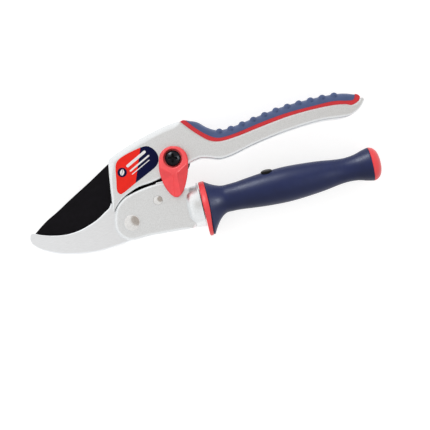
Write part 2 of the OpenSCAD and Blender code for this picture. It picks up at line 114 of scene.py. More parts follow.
class Shader:
    """A material's node tree, with the noise and bump that all the materials share."""

    # Where most of a noise's values lie
    NOISE_SPAN = (0.3, 0.7)

    def __init__(self, name, color, metallic=0.0, roughness=0.5, specular=0.5):
        self.color = color
        self.material = bpy.data.materials.new(name)
        self.material.use_nodes = True
        self.material.diffuse_color = (*color, 1.0)
        self.tree = self.material.node_tree
        self.bsdf = self.tree.nodes["Principled BSDF"]
        self.bsdf.inputs["Base Color"].default_value = (*color, 1.0)
        self.bsdf.inputs["Metallic"].default_value = metallic
        self.bsdf.inputs["Roughness"].default_value = roughness
        self.bsdf.inputs["Specular IOR Level"].default_value = specular
        self.place = self.tree.nodes.new("ShaderNodeTexCoord").outputs["Object"]

    def stretched(self, scale, turn):
        """Object coordinates, scaled per axis and turned about Z."""
        mapping = self.tree.nodes.new("ShaderNodeMapping")
        mapping.inputs["Scale"].default_value = scale
        mapping.inputs["Rotation"].default_value = (0, 0, turn)
        self.tree.links.new(self.place, mapping.inputs["Vector"])
        return mapping.outputs["Vector"]

    def noise(self, scale, detail=3.0, rough=0.55, place=None):
        node = self.tree.nodes.new("ShaderNodeTexNoise")
        node.inputs["Scale"].default_value = scale
        node.inputs["Detail"].default_value = detail
        node.inputs["Roughness"].default_value = rough
        self.tree.links.new(place or self.place, node.inputs["Vector"])
        return node.outputs["Fac"]

    def mottle(self, value, low, high, span=NOISE_SPAN):
        """The base colour, between two shades of the material's colour as the noise goes."""
        shades = [[min(1.0, c * factor) for c in self.color] for factor in (low, high)]
        output = color_ramp(self.tree, value, list(zip(span, shades)))
        self.tree.links.new(output, self.bsdf.inputs["Base Color"])

    def roughen(self, value, low, high):
        """The roughness, between two limits as the noise goes."""
        output = map_range(self.tree, value, self.NOISE_SPAN, low, high)
        self.tree.links.new(output, self.bsdf.inputs["Roughness"])

    def bump(self, height, strength, depth, below=None):
        """Relief of a depth in millimetres, on top of another relief if there is one."""
        node = self.tree.nodes.new("ShaderNodeBump")
        node.inputs["Strength"].default_value = strength
        node.inputs["Distance"].default_value = depth * MM
        self.tree.links.new(height, node.inputs["Height"])
        if below:
            self.tree.links.new(below, node.inputs["Normal"])
        self.tree.links.new(node.outputs["Normal"], self.bsdf.inputs["Normal"])
        return node.outputs["Normal"]


# ---- materials ----


def cast_alloy():
    """Die-cast aluminium, tumbled to a fine silver grain."""
    s = Shader("cast_alloy", (0.842, 0.862, 0.870), metallic=1.0, roughness=0.42)
    s.mottle(s.noise(1500, 2), 0.93, 1.05)
    s.roughen(s.noise(900, 3), 0.38, 0.47)
    grain = s.bump(s.noise(5200, 2), 0.20, 0.04)
    s.bump(s.noise(1300, 2), 0.06, 0.05, below=grain)
    return s.material


def hook_steel():
    """Forged steel hook, satin ground across its face."""
    s = Shader("hook_steel", (0.905, 0.925, 0.945), metallic=1.0, roughness=0.36)
    lines = s.noise(1.0, 3, 0.6, s.stretched((300, 5200, 900), math.radians(12)))
    s.mottle(lines, 0.95, 1.04, (0.35, 0.65))
    s.roughen(s.noise(500, 3), 0.31, 0.42)
    s.bump(lines, 0.08, 0.03)
    return s.material


def blade_coat():
    """Black non-stick coating on the blade."""
    s = Shader("blade_coat", (0.0045, 0.0038, 0.0055), roughness=0.42, specular=0.09)
    s.mottle(s.noise(300, 4), 0.8, 1.35)
    s.roughen(s.noise(700, 4), 0.36, 0.50)
    s.bump(s.noise(6500, 2), 0.15, 0.02)
    return s.material


def turned_steel(name, color, low, high):
    """Turned and polished steel."""
    s = Shader(name, color, metallic=1.0, roughness=(low + high) / 2)
    s.mottle(s.noise(700, 3), 0.94, 1.04)
    s.roughen(s.noise(1500, 3), low, high)
    s.bump(s.noise(3500, 2), 0.05, 0.02)
    return s.material


def black_steel():
    """Black oxide on a screw head."""
    s = Shader("black_steel", (0.003, 0.003, 0.004), roughness=0.22, specular=0.11)
    s.mottle(s.noise(900, 3), 0.75, 1.5)
    s.roughen(s.noise(1800, 3), 0.26, 0.36)
    s.bump(s.noise(5000, 2), 0.08, 0.02)
    return s.material


def sintered_bronze():
    """Porous bronze of the bushes."""
    s = Shader("sintered_bronze", (0.42, 0.27, 0.11), metallic=1.0, roughness=0.45)
    s.mottle(s.noise(1200, 4), 0.8, 1.15)
    s.roughen(s.noise(2200, 3), 0.38, 0.55)
    s.bump(s.noise(7000, 2), 0.2, 0.03)
    return s.material


def moulded(name, color, low, high, grain=4200, strength=0.12, specular=0.5, coat=0.0):
    """Injection-moulded plastic with a fine spark-eroded grain."""
    s = Shader(name, color, roughness=(low + high) / 2, specular=specular)
    s.bsdf.inputs["Coat Weight"].default_value = coat
    s.bsdf.inputs["Coat Roughness"].default_value = 0.2
    s.mottle(s.noise(240, 4), 0.94, 1.06)
    s.roughen(s.noise(1100, 3), low, high)
    s.bump(s.noise(grain, 2), strength, 0.03)
    return s.material


def label_film(name, color, specular):
    """Printed label film: smooth, with hardly any grain."""
    return moulded(name, color, 0.26, 0.36, grain=1500, strength=0.03, specular=specular)


def soft_grip(name, color, sheen):
    """Soft-touch rubber: dull, with a faint bloom and a fine pitted grain."""
    s = Shader(name, color, specular=0.20)
    s.bsdf.inputs["Sheen Weight"].default_value = sheen
    s.bsdf.inputs["Sheen Roughness"].default_value = 0.45
    s.bsdf.inputs["Sheen Tint"].default_value = (0.75, 0.80, 1.0, 1.0)
    s.mottle(s.noise(180, 5), 0.92, 1.10)
    s.roughen(s.noise(800, 3), 0.38, 0.48)
    grain = s.bump(s.noise(3600, 2), 0.22, 0.04)
    s.bump(s.noise(600, 3), 0.08, 0.06, below=grain)
    return s.material


MATERIAL = {
    "cast_alloy": cast_alloy(),
    "hook_steel": hook_steel(),
    "blade_steel": blade_coat(),
    "bright_steel": turned_steel("bright_steel", (0.78, 0.77, 0.755), 0.14, 0.24),
    "dark_steel": turned_steel("dark_steel", (0.30, 0.30, 0.32), 0.26, 0.38),
    "spring_steel": turned_steel("spring_steel", (0.33, 0.33, 0.35), 0.20, 0.34),
    "black_steel": black_steel(),
    "bronze": sintered_bronze(),
    "nylon": moulded("nylon", (0.74, 0.71, 0.63), 0.42, 0.55),
    "black_plastic": moulded("black_plastic", (0.004, 0.004, 0.004), 0.28, 0.38, specular=0.12),
    "red_plastic": moulded("red_plastic", (0.67, 0.040, 0.047), 0.34, 0.46, coat=0.08),
    "liner_red": moulded("liner_red", (0.65, 0.038, 0.048), 0.40, 0.52, specular=0.25),
    "soft_blue": soft_grip("soft_blue", (0.0046, 0.0072, 0.029), 0.04),
    # The pad is the sleeve's rubber. Its far lighter base colour is painted light, standing in for the light that
    # falls on its top.
    "pad_blue": soft_grip("pad_blue", (0.080, 0.112, 0.232), 0.10),
    "label_red": label_film("label_red", (0.88, 0.024, 0.014), 0.15),
    "label_navy": label_film("label_navy", (0.0020, 0.0040, 0.040), 0.1),
    "label_white": moulded("label_white", (0.85, 0.85, 0.85), 0.25, 0.35, 1500, 0.03),
}
SLOT_OF = {p["node"]: p["material_slot"] for p in frame["record"]["subparts"]}

# ---- mesh helpers ----

# The radius of the tiny ring that closes a turned piece on its axis
AXIS_R = 0.02


def smoothed(mesh, angle):
    """Smooth shading, with a crease wherever two faces meet at more than the angle."""
    normals = mesh.attributes.get("custom_normal")
    if normals:
        mesh.attributes.remove(normals)
    mesh.shade_smooth()
    mesh.set_sharp_from_angle(angle=math.radians(angle))


def piece(name, mesh, body, slot, replaces=(), smooth_angle=40):
    """A piece of the object: a mesh that rides on a body, in a record slot's finish."""
    obj = bpy.data.objects.new(name, mesh)
    bpy.context.scene.collection.objects.link(obj)
    mesh.materials.clear()
    mesh.materials.append(MATERIAL[slot])
    smoothed(mesh, smooth_angle)
    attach(obj, body)
    if replaces:
        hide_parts(*replaces)
    return obj


def mesh_from(name, verts, faces):
    """A mesh in metres from points in millimetres about the pivot."""
    mesh = bpy.data.meshes.new(name)
    mesh.from_pydata([PIVOT + Vector(v) * MM for v in verts], [], faces)
    bm = bmesh.new()
    bm.from_mesh(mesh)
    bmesh.ops.recalc_face_normals(bm, faces=bm.faces)
    bm.to_mesh(mesh)
    bm.free()
    return mesh


def bands(rings, count):
    """Faces between each of the first rings and the next one, and round to the first."""
    m, n = len(rings), len(rings[0])
    return [
        (j * n + i, (j + 1) % m * n + i, (j + 1) % m * n + (i + 1) % n, j * n + (i + 1) % n)
        for j in range(count)
        for i in range(n)
    ]


def loft(name, rings):
    """A skin through rings of equally many points, with both ends closed."""
    m, n = len(rings), len(rings[0])
    ends = [tuple(range(n)), tuple((m - 1) * n + i for i in range(n))]
    return mesh_from(name, [v for ring in rings for v in ring], bands(rings, m - 1) + ends)


def ring_loft(name, rings):
    """A skin through rings that closes on itself, like a tyre."""
    return mesh_from(name, [v for ring in rings for v in ring], bands(rings, len(rings)))


def circle_z(x, y, r, z, n):
    turns = [2 * math.pi * i / n for i in range(n)]
    return [(x + r * math.cos(turn), y + r * math.sin(turn), z) for turn in turns]


def turned_z(name, x, y, profile, n=96):
    """A solid turned about a line along Z, from (radius, height) points."""
    return loft(name, [circle_z(x, y, r, z, n) for r, z in profile])


def arc_points(center, r, start, end, n):
    """Points on an arc in the plane, in degrees."""
    step = math.radians(end - start) / n
    turns = [math.radians(start) + step * i for i in range(n + 1)]
    return [(center[0] + r * math.cos(turn), center[1] + r * math.sin(turn)) for turn in turns]


def curve(points, n):
    """A smooth curve through points in the plane, with n steps between neighbours."""
    p = [Vector(q) for q in points]
    out = []
    for i in range(len(p) - 1):
        b, c = p[i], p[i + 1]
        a = p[i - 1] if i else 2 * b - c
        d = p[i + 2] if i + 2 < len(p) else 2 * c - b
        for k in range(n):
            t = k / n
            square = (2 * a - 5 * b + 4 * c - d) * t * t
            cube = (3 * b - a - 3 * c + d) * t**3
            out.append(0.5 * (2 * b + (c - a) * t + square + cube))
    return out + [p[-1]]


def smoothstep(a, b, x):
    """From 0 at a to 1 at b, eased at both ends; a may be the larger."""
    t = min(1.0, max(0.0, (x - a) / (b - a)))
    return t * t * (3 - 2 * t)


def bevelled(obj, width):
    """Rounds an object's sharp edges."""
    bevel = obj.modifiers.new("edges", "BEVEL")
    bevel.width = width * MM
    bevel.segments = 2
    bevel.limit_method = "ANGLE"
    bevel.angle_limit = math.radians(35)
    bevel.harden_normals = True


# ---- rounded edges on the flat faces of CAD nodes ----

# Corners closer than this are one, and a face this near a height lies on it, both in metres
WELD = 2e-6
LEVEL = 5e-6
# How much of a flat face's normal lies along Z
FACING = 0.9
# Two neighbouring edges count as one line when their directions agree this much, and as
# turning back when they cross as little as this
IN_LINE = 0.93
TURNED_BACK = 0.05
# The furthest that a corner moves, and the nearest that it may come to another edge, both
# as shares of the edge's width
FURTHEST = 2.2
NEAREST = 0.8


def walk(edges):
    """Closed chains of vertices along a set of edges, the longest first."""
    links = {}
    for edge in edges:
        a, b = edge.verts
        links.setdefault(a, []).append(b)
        links.setdefault(b, []).append(a)
    chains = []
    unused = set(links)
    while unused:
        start = min(unused, key=lambda v: v.index)
        chain, last, here = [start], None, start
        while True:
            unused.discard(here)
            ahead = [v for v in links[here] if v is not last]
            last, here = here, ahead[0]
            if here is start:
                break
            chain.append(here)
        chains.append(chain)
    return sorted(chains, key=lambda c: -sum((c[i].co - c[i - 1].co).length for i in range(len(c))))


def inset_points(points, widths):
    """A closed outline moved inwards, each edge by its own width; both in millimetres."""
    n = len(points)
    area = sum(points[i - 1].x * points[i].y - points[i].x * points[i - 1].y for i in range(n))
    side = 1 if area > 0 else -1
    inward = []
    for i in range(n):
        along = (points[(i + 1) % n] - points[i]).normalized()
        inward.append(Vector((-along.y, along.x)) * side)
    moved = []
    for i in range(n):
        a, b = inward[i - 1], inward[i]
        wa, wb = widths[i - 1], widths[i]
        cross = a.x * b.y - a.y * b.x
        if a.dot(b) > IN_LINE:
            step = (a + b).normalized() * (wa + wb) / 2
        elif abs(cross) > TURNED_BACK:
            step = Vector((wa * b.y - wb * a.y, wb * a.x - wa * b.x)) / cross
        else:
            step = (a + b) / 2 * (wa + wb) / 2
        longest = FURTHEST * max(wa, wb)
        if step.length > longest:
            step = step.normalized() * longest
        moved.append(points[i] + step)
    return moved


def gap(p, a, b):
    """How far a point in the plane is from the line between two others."""
    t = min(1.0, max(0.0, (p - a).dot(b - a) / (b - a).length_squared))
    return (p - a - (b - a) * t).length


def unfolded(points, moved, widths):
    """The inset outline, with the stretches that came too near another edge drawn straight."""
    n = len(points)
    edges = [(points[j], points[(j + 1) % n], NEAREST * widths[j]) for j in range(n)]
    good = [all(gap(p, a, b) >= least for a, b, least in edges) for p in moved]
    out = list(moved)
    for i in range(n):
        if good[i] and not good[(i + 1) % n]:
            run = next(k for k in range(2, n) if good[(i + k) % n])
            for k in range(1, run):
                out[(i + k) % n] = moved[i].lerp(moved[(i + run) % n], k / run)
    return out


def flat_face(bm, level, side):
    """The faces that lie at a height and look up (1) or down (-1)."""
    return [
        f
        for f in bm.faces
        if f.normal.z * side > FACING and all(abs(v.co.z - level) < LEVEL for v in f.verts)
    ]


def rimmed(name, node, body, rims, steps=4, land=0.2, mitred=False):
    """A CAD node's own shape, with the outer edges of its flat faces rounded.

    rims is a list of (height, side, edge_at): the height of a flat face, 1 or -1 for the way
    it looks, and a function that gives the edge at a point: its width and its depth in
    millimetres, and how much of it is a straight chamfer, from 0 to 1.
    """
    mesh = frame["nodes"][node].data.copy()
    bm = bmesh.new()
    bm.from_mesh(mesh)
    bmesh.ops.remove_doubles(bm, verts=bm.verts, dist=WELD)
    for height, side, edge_at in rims:
        bm.verts.index_update()
        bm.normal_update()
        flat = flat_face(bm, PIVOT.z + height * MM, side)
        inside = set(flat)
        border = [e for f in flat for e in f.edges if sum(g in inside for g in e.link_faces) == 1]
        chains = walk(border)
        outer = chains[0]
        bmesh.ops.delete(bm, geom=flat, context="FACES")
        points = [Vector(((v.co.x - PIVOT.x) / MM, (v.co.y - PIVOT.y) / MM)) for v in outer]
        n = len(points)
        sizes = [edge_at((points[i] + points[(i + 1) % n]) / 2) for i in range(n)]
        widths = [size[0] for size in sizes]
        full = inset_points(points, widths)
        ledge = inset_points(points, [width + land for width in widths])
        if mitred:
            full = unfolded(points, full, widths)
            ledge = unfolded(points, ledge, [width + land for width in widths])
        depths = [(sizes[i - 1][1] + sizes[i][1]) / 2 for i in range(n)]
        straight = [(sizes[i - 1][2] + sizes[i][2]) / 2 for i in range(n)]
        rings = [outer]
        for k in range(steps + 1):
            t = k / steps
            turn = math.pi / 2 * t
            ring = []
            for i in range(n):
                inset = 1 - math.cos(turn) + (t + math.cos(turn) - 1) * straight[i]
                drop = 1 - math.sin(turn) + (math.sin(turn) - t) * straight[i]
                p = points[i] + (full[i] - points[i]) * inset
                place = at(p.x, p.y, height - side * depths[i] * drop)
                if k == 0:
                    outer[i].co = place
                else:
                    ring.append(bm.verts.new(place))
            if k:
                rings.append(ring)
        rings.append([bm.verts.new(at(p.x, p.y, height)) for p in ledge])
        for low, high in zip(rings, rings[1:]):
            for i in range(n):
                k = (i + 1) % n
                bm.faces.new((low[i], low[k], high[k], high[i]))
        loops = [rings[-1]] + chains[1:]
        edges = [bm.edges.get((loop[i - 1], loop[i])) for loop in loops for i in range(len(loop))]
        bmesh.ops.triangle_fill(bm, use_beauty=True, edges=edges, normal=(0, 0, side))
        bmesh.ops.remove_doubles(bm, verts=bm.verts, dist=WELD)
    bmesh.ops.recalc_face_normals(bm, faces=bm.faces)
    bm.to_mesh(mesh)
    bm.free()
    return piece(name, mesh, body, SLOT_OF[node], [node])


def mixed(a, b, t):
    """An edge between two others: the first where t is 0, the second where it is 1."""
    return tuple(p + (q - p) * t for p, q in zip(a, b))


def narrowed(edge, factor):
    """An edge with its width and depth scaled."""
    width, depth, straight = edge
    return width * factor, depth * factor, straight


def carried(node, width):
    """A CAD node shown as it is, in its own material, with its edges broken by a width."""
    obj = frame["nodes"][node]
    obj.data.materials.clear()
    obj.data.materials.append(MATERIAL[SLOT_OF[node]])
    smoothed(obj.data, 30)
    if width:
        bevelled(obj, width)


# ---- upper handle ----

# The casting's edges, each as its width, its depth and how much of it is straight
BACK_CHAMFER, CORNER_CHAMFER, LINER_CHAMFER = (3.5, 1.35, 0.85), (0.9, 0.35, 0.85), (0.9, 0.28, 1.0)
FRONT_EDGE, UNDER_EDGE = (1.6, 1.1, 0.4), (1.1, 0.7, 0.3)
HANDLE_EDGE, END_EDGE = (1.5, 1.0, 0.3), (1.0, 0.9, 0.0)
# The lines above which the casting's outline is its back, and the red strip's seat
BACK_LINE_AT, BACK_LINE_SLOPE = Vector((-5.7, 38)), 0.289
LINER_LINE_AT, LINER_LINE_SLOPE = Vector((60, 31)), 0.083
# Where the back ends at the red strip, where the handle starts, and where its end starts
LINER_X, HANDLE_X, END_X = 41.5, 22.7, 140
# The line between the two edges that meet in the sharp front tip
TIP_AT, TIP_SLOPE, TIP_TOP = Vector((-9, 9.2)), 0.5, 17
# Where the edges change: towards the red strip, up the nose, and down to the tip, where
# they keep only a share of their size
CORNER_FADE, NOSE_FADE, TIP_FADE, TIP_SHARE = (37, 41.6), (28, 38.5), (9.4, 15.5), 0.03


def casting_edge(p):
    """A broad chamfer along the casting's back, and narrow rounded edges elsewhere."""
    if p.x < LINER_X and p.y > BACK_LINE_AT.y + (p.x - BACK_LINE_AT.x) * BACK_LINE_SLOPE:
        return mixed(BACK_CHAMFER, CORNER_CHAMFER, smoothstep(*CORNER_FADE, p.x))
    if p.x > LINER_X and p.y > LINER_LINE_AT.y + (p.x - LINER_LINE_AT.x) * LINER_LINE_SLOPE:
        return LINER_CHAMFER
    if p.x < 0:
        from_tip = TIP_SHARE + (1 - TIP_SHARE) * smoothstep(*TIP_FADE, p.y)
        if p.x > TIP_AT.x + (p.y - TIP_AT.y) * TIP_SLOPE and p.y < TIP_TOP:
            return narrowed(UNDER_EDGE, from_tip)
        nose = mixed(FRONT_EDGE, BACK_CHAMFER, smoothstep(*NOSE_FADE, p.y))
        return narrowed(nose, from_tip)
    if p.x < HANDLE_X:
        return UNDER_EDGE
    if p.x > END_X:
        return END_EDGE
    return HANDLE_EDGE


def upper_casting():
    rims = [(FACE_Z, 1, casting_edge), (BACK_Z, -1, casting_edge)]
    rimmed("upper_casting", "upper_frame", UPPER, rims, mitred=True)


BLADE_EDGE, BLADE_TIP_EDGE, BLADE_FADE = (0.28, 0.2, 0.0), (0.08, 0.06, 0.0), (-57, -48)


def blade_edge(p):
    return mixed(BLADE_TIP_EDGE, BLADE_EDGE, smoothstep(*BLADE_FADE, p.x))


def blade_plate():
    face_z = mm_box("blade")[1].z
    rimmed("blade_plate", "blade", UPPER, [(face_z, 1, blade_edge)], steps=3, land=0.1)


LINER_EDGE = (0.5, 0.5, 0.0)


def liner():
    back, face = (corner.z for corner in mm_box("grip_liner"))
    rims = [(face, 1, lambda p: LINER_EDGE), (back, -1, lambda p: LINER_EDGE)]
    rimmed("liner_strip", "grip_liner", UPPER, rims)


# The pad's outline on the liner and its top between the ribs, from the front to the end
PAD_LINE = curve(
    [
        (45.6, 52), (50, 46.5), (55, 41.7), (60, 38.4), (65.5, 37.5), (75, 38.4), (90, 41),
        (105, 42.8), (120, 43.2), (133, 43.2), (141, 41.7), (145, 41.3), (146.8, 43.9),
    ],
    36,
)
PAD_TOP = curve(
    [
        (45.8, 52.2), (51.5, 50), (56.5, 45.6), (62, 42.5), (68, 42), (80, 43.6), (92, 45.6),
        (105, 47.2), (120, 47.7), (131, 47.5), (139, 46.8), (144, 45.5), (146.9, 44.1),
    ],
    36,
)
PAD_HALF_W, PAD_OVERLAP = 8.45, 0.4
# How square the pad's section is, from a half circle at 2 upwards, and its steps
PAD_SQUARENESS, PAD_SPAN = 2.6, 72
RIB_COUNT, RIB_FROM, RIB_PITCH = 11, 63.1, 7.17
RIB_R, RIB_HALF_W, RIB_RISE, RIB_BLEND = 2.3, 5.75, 0.75, 0.35
# How far from the plain pad its surface is looked for, and in how many halvings
RIB_SEARCH, RIB_HALVINGS = (-0.3, 2.6), 14
DIMPLE_AT, DIMPLE_R, DIMPLE_DEPTH, DIMPLE_POWER = Vector((0.5, -0.5)), 0.8, 0.6, 0.7


def height_on(line, x):
    for a, b in zip(line, line[1:]):
        if a.x <= x <= b.x:
            return a.y + (b.y - a.y) * (x - a.x) / (b.x - a.x)
    return line[-1].y


RIB_X = [RIB_FROM + RIB_PITCH * i for i in range(RIB_COUNT)]
RIB_AT = [Vector((x, height_on(PAD_TOP, x) + RIB_RISE - RIB_R)) for x in RIB_X]


def nearest_rib(p):
    return RIB_AT[min(RIB_COUNT - 1, max(0, round((p.x - RIB_FROM) / RIB_PITCH)))]


def rib_distance(p):
    """How far a point is outside the nearest rib, which is a bar along Z with round ends."""
    rib = nearest_rib(p)
    z = p.z - max(-RIB_HALF_W, min(RIB_HALF_W, p.z))
    return Vector((p.x - rib.x, p.y - rib.y, z)).length - RIB_R


def dimpled(p):
    """A point of the pad, pressed in where a rib's end has its small round pit."""
    off = (p.xy - nearest_rib(p) - DIMPLE_AT).length / DIMPLE_R
    if off >= 1 or abs(p.z) < RIB_HALF_W:
        return p
    depth = DIMPLE_DEPTH * (1 - off * off) ** DIMPLE_POWER
    return p - Vector((0, 0, math.copysign(depth, p.z)))


def blend_min(a, b, k):
    """The smaller of two distances, with a fillet of size k between their surfaces."""
    h = max(k - abs(a - b), 0.0) / k
    return min(a, b) - h * h * k / 4


def plain_pad():
    """The pad without its ribs, as rings of points from one side to the other."""
    rings = []
    for low, top in zip(PAD_LINE, PAD_TOP):
        low = low - (top - low).normalized() * PAD_OVERLAP
        ring = []
        for k in range(PAD_SPAN + 1):
            across = math.cos(math.pi * k / PAD_SPAN)
            rise = (1 - abs(across) ** PAD_SQUARENESS) ** (1 / PAD_SQUARENESS)
            p = low + (top - low) * rise
            ring.append(Vector((p.x, p.y, -PAD_HALF_W * across)))
        rings.append(ring)
    return rings


def raised(p, along, across):
    """A point of the plain pad, moved out of the pad to where the ribs blend into it."""
    normal = across.cross(along)
    if normal.length < 1e-6:
        return p
    normal.normalize()
    if normal.y < 0 and abs(normal.y) > abs(normal.z):
        normal.negate()
    if normal.z * p.z < 0 and abs(normal.z) >= abs(normal.y):
        normal.negate()
    low, high = RIB_SEARCH
    for _ in range(RIB_HALVINGS):
        middle = (low + high) / 2
        if blend_min(middle, rib_distance(p + normal * middle), RIB_BLEND) < 0:
            low = middle
        else:
            high = middle
    return dimpled(p + normal * max(0.0, low))


def pad():
    """The soft pad, with its ribs flowing out of it."""
    base = plain_pad()
    last = len(base) - 1
    rings = []
    for j, ring in enumerate(base):
        before, after = base[max(0, j - 1)], base[min(last, j + 1)]
        top = [
            raised(ring[k], after[k] - before[k], ring[k + 1] - ring[k - 1])
            for k in range(1, PAD_SPAN)
        ]
        rings.append([ring[0], *top, ring[-1]])
    # Its rubber is painted lighter than the sleeve's: painted light on the pad's top.
    piece("soft_pad", loft("pad_skin", rings), UPPER, "pad_blue", ["grip_pad"], 50)


# ---- label ----

LABEL_Z = mm_box("label_red")[1].z
SPOT_T, MARKS_T = 0.03, 0.06
SPOT_AT, SPOT_R = (1.1, 30.6), 2.8
PRINT_TURN = math.radians(26.6)
# Each bar's start, length and width
PRINT_BARS = [((5.2, 33.6), 13.0, 1.7), ((6.2, 30.4), 14.0, 1.0), ((6.8, 28.2), 13.0, 0.5)]
LEAF_TURN = PRINT_TURN + math.radians(40)
LEAF_L, LEAF_W, LEAF_GAP, LEAF_POWER, LEAF_STEPS = 2.0, 1.15, 0.13, 0.8, 16


def printed(outlines, name, thickness):
    """Flat printed shapes, each a closed outline, as one mesh of thin plates."""
    verts, faces = [], []
    for outline in outlines:
        start, n = len(verts), len(outline)
        verts += [(x, y, z) for z in (LABEL_Z, LABEL_Z + thickness) for x, y in outline]
        faces += [tuple(start + i for i in range(n)), tuple(start + n + i for i in range(n))]
        for i in range(n):
            k = (i + 1) % n
            faces.append((start + i, start + k, start + n + k, start + n + i))
    return mesh_from(name, verts, faces)


def turned_about(place, turn, points):
    """Points of the plane, turned and then moved to a place."""
    c, s = math.cos(turn), math.sin(turn)
    return [(place[0] + x * c - y * s, place[1] + x * s + y * c) for x, y in points]


def bar_outline(start, length, width):
    """A bar with round ends, along the print's direction."""
    r = width / 2
    points = arc_points((0, 0), r, 90, 270, 12) + arc_points((length, 0), r, -90, 90, 12)
    return turned_about(start, PRINT_TURN, points)


def leaf_half(side):
    """One half of a pointed leaf, on one side of its midrib."""
    points = []
    for i in range(LEAF_STEPS + 1):
        t = i / LEAF_STEPS
        bulge = LEAF_GAP + LEAF_W * math.sin(math.pi * t) ** LEAF_POWER
        points.append((LEAF_L * (2 * t - 1), side * bulge))
    points += [(LEAF_L * (1 - t / 4), side * LEAF_GAP) for t in range(1, 8)]
    return turned_about(SPOT_AT, LEAF_TURN, points)


def label_print():
    """The label's plain pattern: a leaf on a round spot, and three bars."""
    spot = arc_points(SPOT_AT, SPOT_R, 0, 360, 64)[:-1]
    piece("label_spot", printed([spot], "spot_skin", SPOT_T), UPPER, "label_navy")
    marks = [bar_outline(*bar) for bar in PRINT_BARS] + [leaf_half(1), leaf_half(-1)]
    mesh = printed(marks, "marks_skin", MARKS_T)
    piece("label_marks", mesh, UPPER, "label_white", ["label_print"])


# ---- screws, pivot and rivet ----

PIVOT_SHANK_R, PIVOT_HEAD_R, PIVOT_RIM = 3.5, 4.7, 0.55
RIVET_SHANK_R, RIVET_HEAD_R, RIVET_RIM, RIVET_RISE = 1.9, 2.8, 0.72, 0.5
# How thick the rivet's back head is, which is also how far its front head is sunk, and how
# far a head's underside leans away from the casting between its shank and its rim
RIVET_HEAD_T, SEAT_GAP = 0.8, 0.02
# A head's rim stands upright for a share of its height, and then draws in
RIM_UPRIGHT, RIM_DRAW = 0.8, 0.08
SCREW_R, SCREW_SHANK_R, SCREW_SEAT_Z, SCREW_RIM = 4.75, 2.5, 10.9, 0.4
SCREW_SPOKES, SCREW_STEPS, SCREW_DOME = 144, 40, 2.2
CROSS_REACH, CROSS_HALF_W, CROSS_DEPTH = 2.7, 0.68, 1.6
# How much the cross narrows towards the end of its arms, half the width of its walls, and
# how far the walls at its ends reach outwards and inwards
CROSS_TAPER, CROSS_WALL, CROSS_END_OUT, CROSS_END_IN = 0.25, 0.12, 0.15, 0.55


def dome(r, z0, rim, rise, steps=12):
    """A head's profile above z0: an upright rim, then a shallow dome."""
    edge = r - RIM_DRAW
    points = [(r, z0), (r, z0 + rim * RIM_UPRIGHT), (edge, z0 + rim)]
    for i in range(1, steps + 1):
        left = 1 - i / steps
        points.append((max(AXIS_R, edge * left), z0 + rim + rise * (1 - left**2)))
    return points


def pivot():
    low, high = mm_box("pivot_bolt")
    r, broken = PIVOT_SHANK_R, 0.4
    seat = FACE_Z + SEAT_GAP
    profile = [(AXIS_R, low.z), (r - broken, low.z), (r, low.z + broken), (r, FACE_Z)]
    profile += dome(PIVOT_HEAD_R, seat, PIVOT_RIM, high.z - seat - PIVOT_RIM)
    mesh = turned_z("pivot_skin", 0, 0, profile)
    piece("pivot_head", mesh, LOWER, "bright_steel", ["pivot_bolt"])


def rivet():
    low, high = mm_box("stop_rivet")
    x, y = (low.x + high.x) / 2, (low.y + high.y) / 2
    r, broken = RIVET_HEAD_R, 0.2
    foot_top, seat = low.z + RIVET_HEAD_T, FACE_Z - RIVET_HEAD_T
    profile = [(AXIS_R, low.z), (r - broken, low.z), (r, low.z + broken), (r, foot_top)]
    profile += [(RIVET_SHANK_R, foot_top + SEAT_GAP), (RIVET_SHANK_R, seat)]
    profile += dome(r, seat + SEAT_GAP, RIVET_RIM, RIVET_RISE)
    mesh = turned_z("rivet_skin", x, y, profile)
    piece("rivet_head", mesh, LOWER, "bright_steel", ["stop_rivet"])


def in_cross(u, v):
    """How far a point of the screw's head is inside the cross recess, from 0 to 1."""
    arm, width = max(abs(u), abs(v)), min(abs(u), abs(v))
    half = CROSS_HALF_W * (1 - CROSS_TAPER * arm / CROSS_REACH)
    inside = smoothstep(half + CROSS_WALL, half - CROSS_WALL, width)
    return inside * smoothstep(CROSS_REACH + CROSS_END_OUT, CROSS_REACH - CROSS_END_IN, arm)


def lever_screw():
    """A pan-head screw with a cross recess."""
    low, high = mm_box("lever_screw")
    rim_z = SCREW_SEAT_Z + SCREW_RIM
    profile = [
        (AXIS_R, low.z), (SCREW_SHANK_R, low.z), (SCREW_SHANK_R, SCREW_SEAT_Z),
        (SCREW_R - 0.1, SCREW_SEAT_Z), (SCREW_R, SCREW_SEAT_Z + 0.15), (SCREW_R, rim_z),
    ]
    rings = [circle_z(LEVER_AT.x, LEVER_AT.y, r, z, SCREW_SPOKES) for r, z in profile]
    for i in range(1, SCREW_STEPS + 1):
        r = max(AXIS_R, SCREW_R * (1 - i / SCREW_STEPS))
        dome_z = rim_z + (high.z - rim_z) * (1 - (r / SCREW_R) ** SCREW_DOME)
        ring = []
        for k in range(SCREW_SPOKES):
            turn = 2 * math.pi * k / SCREW_SPOKES
            z = dome_z - CROSS_DEPTH * in_cross(r * math.cos(turn), r * math.sin(turn))
            turn -= VIEW_TURN
            ring.append((LEVER_AT.x + r * math.cos(turn), LEVER_AT.y + r * math.sin(turn), z))
        rings.append(ring)
    mesh = loft("screw_skin", rings)
    piece("lever_screw_head", mesh, UPPER, "black_steel", ["lever_screw"], smooth_angle=50)


# ---- lock lever ----

